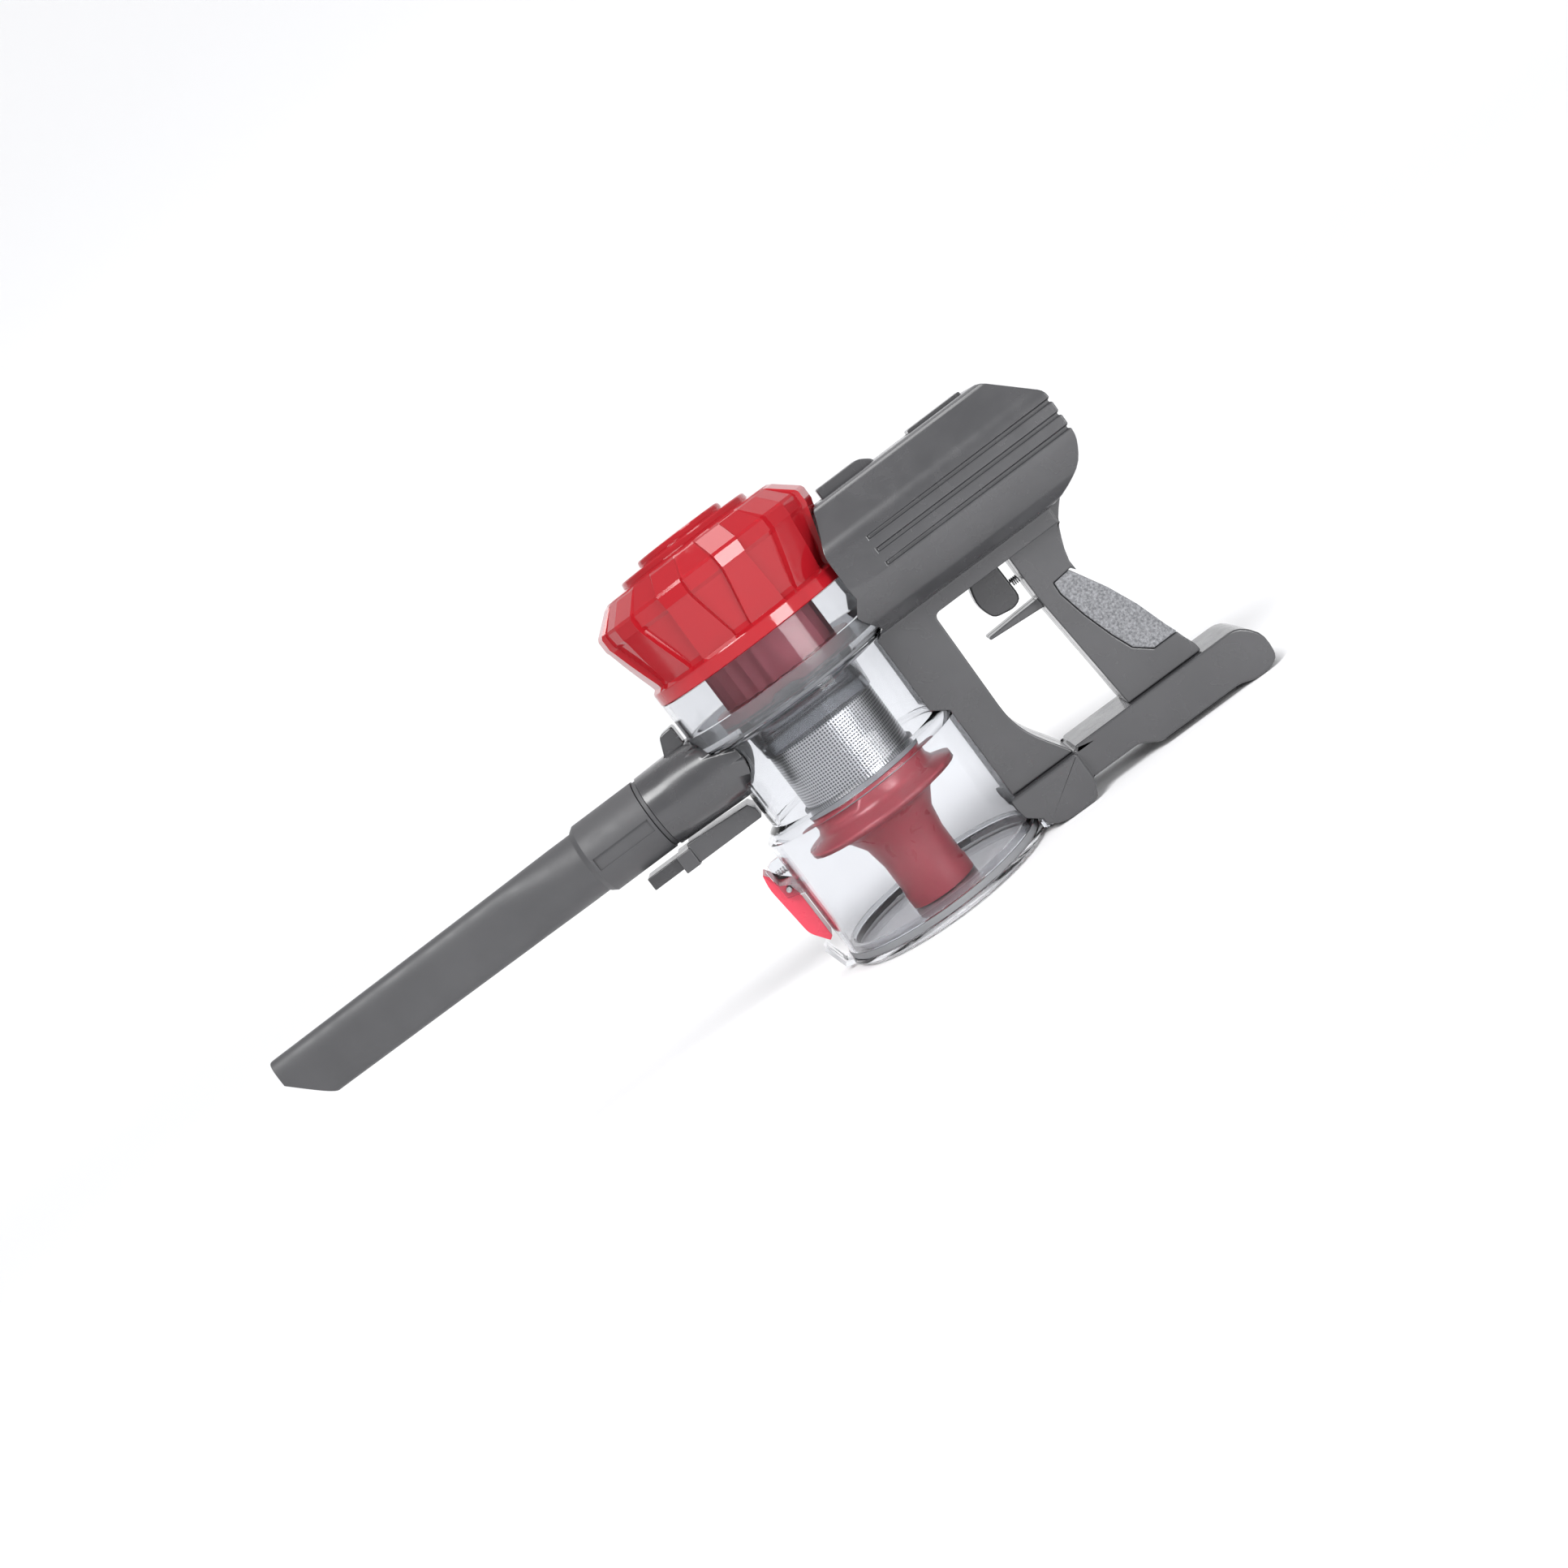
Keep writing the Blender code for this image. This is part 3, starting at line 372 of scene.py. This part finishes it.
PANELS = 12
CAP_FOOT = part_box("filter_cap")[0][2] / MM
CAP_WALL = 2.2
# Above the shoulder the wall leans inward, so its inner face is lower as well as smaller.
CAP_SHOULDER = 44
CAP_DROP = 1.6
FACETS = (
    # radius at the corners, height above the foot, depth of the recess, share of a raised panel
    (57.2, 7.0, 0.3, 0.66),
    (55.4, 8.6, 1.4, 0.67),
    (55.9, 11.0, 2.4, 0.66),
    (58.0, 18.0, 3.0, 0.58),
    (60.2, 26.0, 3.2, 0.49),
    (62.6, 35.6, 3.0, 0.40),
    (63.3, 37.4, 2.6, 0.40),
    (63.3, 43.6, 2.2, 0.42),
    (62.4, 45.2, 2.0, 0.44),
    (51.6, 54.0, 0.6, 0.52),
    (49.6, 55.0, 0.2, 0.54),
)
# Outlines of (radius, height above the foot): the plain ring below the panels, and the stepped top.
FOOT_PROFILE = ((57.0, 0), (57.5, 0.5), (57.5, 6.5), (57.2, 7.0), (55.0, 7.0), (54.8, 0.0))
CROWN_PROFILE = (
    (49.6, 54.8), (49.0, 55.4), (38.6, 56.4), (37.7, 56.8), (37.3, 58.9), (36.7, 59.5),
    (25.6, 60.4), (25.0, 60.8), (24.6, 62.6), (24.0, 63.2), (12.0, 64.0), (0.4, 64.2),
    (0.4, 62.2), (22.6, 61.2), (23.2, 58.6), (35.2, 57.6), (35.8, 54.8), (47.4, 53.2),
)


def facet_ring(radius, height, depth, share):
    """Four corners a panel: two on the raised face and two in the recess after it."""
    points = []
    for panel in range(PANELS):
        middle = tau * (panel + 0.5) / PANELS - pi / 2
        half = share * pi / PANELS
        wall = 0.05 * pi / PANELS
        for angle, reach in (
            (middle - half, radius),
            (middle + half, radius),
            (middle + half + wall, radius - depth),
            (middle + tau / PANELS - half - wall, radius - depth),
        ):
            points.append((reach * cos(angle) * MM, reach * sin(angle) * MM, height * MM))
    return points


def ring_mesh(name, rings):
    """Rings of as many points each, joined one to the next and the last to the first."""
    count = len(rings[0])
    points = [point for ring in rings for point in ring]
    faces = []
    for k in range(len(rings)):
        this, following = k * count, (k + 1) % len(rings) * count
        for i in range(count):
            j = (i + 1) % count
            faces.append((this + i, this + j, following + j, following + i))
    mesh = bpy.data.meshes.new(name)
    mesh.from_pydata(points, [], faces)
    piece = bpy.data.objects.new(name, mesh)
    bpy.context.scene.collection.objects.link(piece)
    editing(piece, (bpy.ops.mesh.normals_make_consistent, {"inside": False}))
    return piece


def filter_cap():
    """The faceted cap: flat raised panels that narrow upward, with recesses between that widen."""
    outer = [facet_ring(r, CAP_FOOT + z, d, share) for r, z, d, share in FACETS]
    inner = [
        facet_ring(r - CAP_WALL, CAP_FOOT + z - (CAP_DROP if z > CAP_SHOULDER else 0), d, share)
        for r, z, d, share in FACETS
    ]
    shell = ring_mesh("filter_cap_panels", outer + inner[::-1])
    round_edges(shell, 0.25, 2, 12, clamp=True)
    smooth(shell, 14)
    place(shell, "filter_cap", "red_polycarbonate", "red_plastic", "filter_cap")
    for name, profile in (("filter_cap_foot", FOOT_PROFILE), ("filter_cap_crown", CROWN_PROFILE)):
        ring = turned(name, [(r, CAP_FOOT + z) for r, z in profile])
        smooth(ring, 30)
        place(ring, "filter_cap", "red_polycarbonate", "red_plastic", "filter_cap")


# ---- stage ----

# The camera is rolled, so that the vacuum points down to the left as it does in a hand.
ROLL = radians(37.0)
EYE = Vector((0.045, -0.97, 0.213))
AIM = Vector((-0.033, 0.0, 0.0945))
LENS = 45.2
# The floor's far side rises in twelve steps round a quarter circle to a wall.
FLOOR_SIZE = (16, 10, 1)
CURVE_STEPS = 12
CURVE_STEP = 0.39
WALL_HEIGHT = 8


def camera():
    """A camera on the near side, aimed at the middle of the object and rolled."""
    made = bpy.data.objects.new("camera", bpy.data.cameras.new("camera"))
    bpy.context.scene.collection.objects.link(made)
    ahead = (AIM - EYE).normalized()
    up = Vector((sin(ROLL), 0, cos(ROLL)))
    right = ahead.cross(up).normalized()
    up = right.cross(ahead)
    turn = Matrix((right, up, -ahead)).transposed().to_4x4()
    made.matrix_world = Matrix.Translation(EYE) @ turn
    made.data.lens = LENS
    made.data.sensor_width = 36.0
    made.data.clip_start = 0.01
    bpy.context.scene.camera = made


def softbox(name, at, size, power, target=(0, 0, 0.11)):
    """A rectangular area light turned toward the object."""
    data = bpy.data.lights.new(name, "AREA")
    data.shape = "RECTANGLE"
    data.size, data.size_y = size
    data.energy = power
    made = bpy.data.objects.new(name, data)
    bpy.context.scene.collection.objects.link(made)
    made.location = at
    made.rotation_euler = (Vector(at) - Vector(target)).to_track_quat("Z", "Y").to_euler()


def stage():
    """A pale floor that curves up into a backdrop, a pale world, a broad sun and three softboxes."""
    bpy.ops.object.select_all(action="DESELECT")
    bpy.ops.mesh.primitive_plane_add(size=1, location=(0, 0, -0.0004))
    floor = bpy.context.object
    floor.name = "floor"
    floor.scale = FLOOR_SIZE
    bpy.ops.object.transform_apply()
    bpy.ops.object.mode_set(mode="EDIT")
    bpy.ops.mesh.select_all(action="DESELECT")
    bpy.ops.object.mode_set(mode="OBJECT")
    for edge in floor.data.edges:
        edge.select = all(floor.data.vertices[i].co.y > 0 for i in edge.vertices)
    bpy.ops.object.mode_set(mode="EDIT")
    for step in range(CURVE_STEPS):
        lean = (step + 1) / CURVE_STEPS * pi / 2
        bpy.ops.mesh.extrude_edges_move(
            TRANSFORM_OT_translate={"value": (0, CURVE_STEP * cos(lean), CURVE_STEP * sin(lean))},
        )
    bpy.ops.mesh.extrude_edges_move(TRANSFORM_OT_translate={"value": (0, 0, WALL_HEIGHT)})
    bpy.ops.object.mode_set(mode="OBJECT")
    bpy.ops.object.shade_smooth()
    made, tree, _ = new_material("pale_floor")
    shader = add(tree, "ShaderNodeBsdfPrincipled", {"Base Color": colour("#f6f6f7"), "Roughness": 0.85})
    finish_material(tree, shader)
    floor.data.materials.append(made)
    world = bpy.data.worlds.new("studio")
    world.use_nodes = True
    back = world.node_tree.nodes["Background"]
    back.inputs[0].default_value = colour("#f7f8fa")
    back.inputs[1].default_value = 0.45
    bpy.context.scene.world = world
    sun = bpy.data.objects.new("sun", bpy.data.lights.new("sun", "SUN"))
    bpy.context.scene.collection.objects.link(sun)
    sun.data.energy = 2.2
    sun.data.angle = radians(30)
    sun.rotation_euler = Vector((-0.5, -1.0, 1.3)).to_track_quat("Z", "Y").to_euler()
    softbox("key", (-0.5, -1.0, 1.3), (0.6, 0.6), 4)
    softbox("window", (0.66, -0.93, 0.26), (0.42, 0.42), 7)
    softbox("top", (0.1, 0.25, 1.2), (0.5, 0.5), 3)
    bpy.context.scene.view_settings.view_transform = "Standard"


# ---- the pieces that keep their frame shape ----

SKINS = (
    # node, finish, rounding of its edges in millimetres, smoothing angle
    ("body_left", "glossy_abs", 0.8, 30),
    ("body_right", "glossy_abs", 0.8, 30),
    ("battery_case", "glossy_abs", 1.2, 30),
    ("battery_cover", "glossy_abs", 0.3, 30),
    ("cup_button", "glossy_abs", 0.8, 30),
    ("speed_button", "glossy_abs", 0.5, 30),
    ("trigger", "black_abs", 1.2, 30),
    ("inlet_duct", "glossy_abs", 0, 45),
    ("inlet_button", "glossy_abs", 1.0, 30),
    ("contact_box", "glossy_abs", 0.6, 30),
    ("contact_plug", "black_abs", 0.6, 30),
    ("crevice_tool", "matte_polypropylene", 0, 30),
    ("dust_cup", "clear_polycarbonate", 0, 40),
    ("lid", "clear_polycarbonate", 0, 40),
    ("hinge_bracket", "clear_polycarbonate", 0, 30),
    ("clear_band", "clear_polycarbonate", 0, 40),
    ("filter_housing", "smoky_polycarbonate", 0, 40),
    ("rim_ring", "smoky_polycarbonate", 0, 40),
    ("latch", "red_abs", 0.35, 30),
    ("skirt", "skirt_abs", 0, 60),
    ("filter_base", "skirt_abs", 0.5, 40),
    ("filter_core", "skirt_abs", 0.4, 40),
    ("grip_pad", "speckled_rubber", 0.6, 40),
    ("lid_seal", "seal_rubber", 0.4, 40),
    ("rim_seal", "seal_rubber", 0.2, 40),
    ("neck_seal", "matte_polypropylene", 0.3, 40),
    ("screen_base", "grey_abs", 0.5, 40),
    ("mesh_screen", "pierced_steel", 0, 40),
    ("inlet_flap", "seal_rubber", 0.3, 40),
    ("pleated_filter", "filter_cloth", 0, 20),
    ("exhaust_filter", "filter_paper", 0.6, 40),
    ("motor_can", "turned_steel", 0.8, 40),
    ("motor_mount", "seal_rubber", 0.3, 40),
    ("motor_bracket", "grey_abs", 0.3, 40),
    ("motor_shaft", "turned_steel", 0.3, 40),
    ("impeller", "grey_abs", 0.2, 40),
    ("battery_cell_1", "cell_wrap", 0.6, 40),
    ("battery_cell_2", "cell_wrap", 0.6, 40),
    ("battery_board", "solder_mask", 0.2, 40),
    ("button_board", "solder_mask", 0.2, 40),
    ("control_board", "solder_mask", 0.2, 40),
    ("button_shelf", "grey_abs", 0.3, 40),
    ("trigger_switch", "black_abs", 0.3, 40),
    ("trigger_pin", "turned_steel", 0.2, 40),
    ("hinge_pin", "turned_steel", 0.2, 40),
    ("latch_pin", "turned_steel", 0.2, 40),
    ("body_screw_1", "turned_steel", 0.2, 40),
    ("body_screw_2", "turned_steel", 0.2, 40),
    ("body_screw_3", "turned_steel", 0.2, 40),
    ("body_screw_4", "turned_steel", 0.2, 40),
)

COIL_WIRE_R = 0.35 * MM
COIL_TURNS = 4
COIL_STEPS = 16
SPRINGS = (
    # node, axis letter, joint that presses it, fixed end in metres, share of its length when pressed
    ("cup_button_spring", "Z", "cup_button_press", 0.1885, 0.3),
    ("speed_button_spring", "Z", "speed_button_press", 0.1915, 0.5),
    ("trigger_spring", "X", "trigger_pull", 0.1206, 0.5),
    ("latch_spring", "X", "latch_rock", -0.0582, 0.8),
)


def spring(node, axis, joint, anchor, keep):
    """A coil of round wire in the space of the frame's plain spring."""
    low, high = (Vector(corner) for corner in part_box(node))
    middle, size = (low + high) / 2, high - low
    length, width = (size[2], size[0]) if axis == "Z" else (size[0], size[2])
    radius = width / 2
    points = COIL_TURNS * COIL_STEPS
    curve = bpy.data.curves.new(node + "_coil", "CURVE")
    curve.dimensions = "3D"
    curve.bevel_depth = COIL_WIRE_R
    curve.bevel_resolution = 2
    curve.use_fill_caps = True
    line = curve.splines.new("POLY")
    line.points.add(points)
    for i, point in enumerate(line.points):
        angle = tau * i / COIL_STEPS
        u, v = (radius - COIL_WIRE_R) * cos(angle), (radius - COIL_WIRE_R) * sin(angle)
        along = (i / points - 0.5) * (length - 2 * COIL_WIRE_R)
        offset = Vector((u, v, along)) if axis == "Z" else Vector((along, u, v))
        point.co = (*(middle + offset), 1)
    piece = bpy.data.objects.new(node + "_coil", curve)
    bpy.context.scene.collection.objects.link(piece)
    only(piece)
    bpy.ops.object.convert(target="MESH")
    piece = bpy.context.object
    bpy.ops.object.shade_smooth()
    place(piece, BODY_OF[node], "turned_steel", "steel", node)
    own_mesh(piece)


camera()
stage()
for node, look, edge, angle in SKINS:
    refined(node, look, edge, angle)
for row in SPRINGS:
    spring(*row)
filter_cap()
